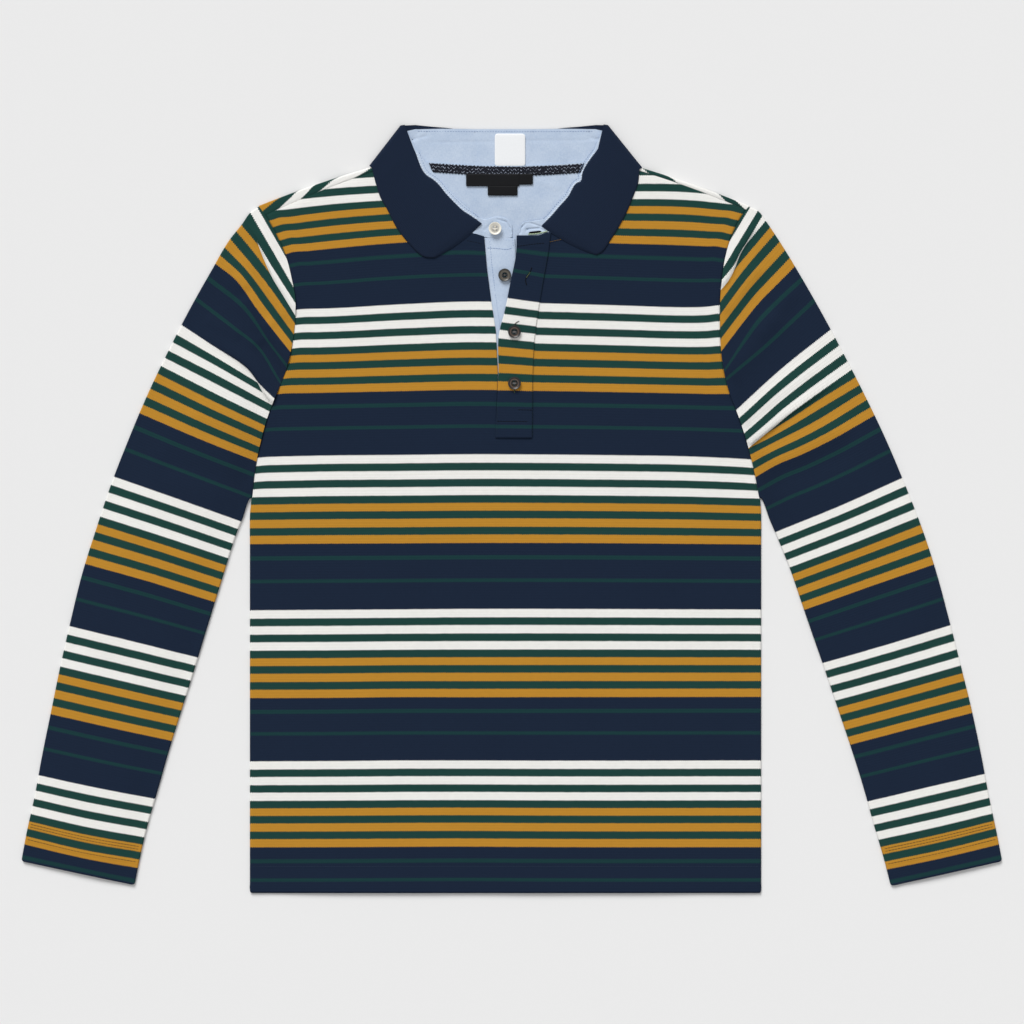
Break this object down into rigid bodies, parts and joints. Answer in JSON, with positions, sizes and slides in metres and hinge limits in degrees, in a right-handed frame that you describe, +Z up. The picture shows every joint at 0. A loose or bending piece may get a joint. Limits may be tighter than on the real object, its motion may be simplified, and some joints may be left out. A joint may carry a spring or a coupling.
{
  "type": "long-sleeve polo shirt",
  "caption": "Long-sleeve polo shirt laid flat on its back, knit collar folded down, chambray stand and open placket, striped jersey body and sleeves.",
  "frame": {"origin": "middle of the laid-out garment's box, on the surface it lies on", "axes": "+Z up from the surface, +Y from the hem to the collar, +X to the right as seen from above, towards the wearer's left sleeve"},
  "size_m": [0.9594, 0.7508, 0.0094],
  "materials": {
    "striped_jersey": "compact cotton jersey, navy, green, ochre and white stripes",
    "navy_knit": "flat-knit cotton, matt",
    "blue_chambray": "light blue cotton chambray, washed",
    "herringbone_tape": "dark herringbone twill tape",
    "label_black": "black woven satin label, blank",
    "label_white": "white heat-sealed label, blank",
    "button_dark": "dark horn-look resin",
    "button_white": "pale shell-look resin"
  },
  "bodies": {
    "root": {"back": "striped_jersey", "front": "striped_jersey", "sleeve_right": "striped_jersey", "sleeve_left": "striped_jersey", "placket_top": "striped_jersey", "placket_under": "blue_chambray", "yoke_facing": "blue_chambray", "collar_stand": "blue_chambray", "collar": "navy_knit", "neck_tape": "herringbone_tape", "label_main": "label_black", "label_size": "label_black", "collar_label": "label_white", "button_collar": "button_white", "button_1": "button_dark", "button_2": "button_dark", "button_3": "button_dark"}
  },
  "joints": []
}
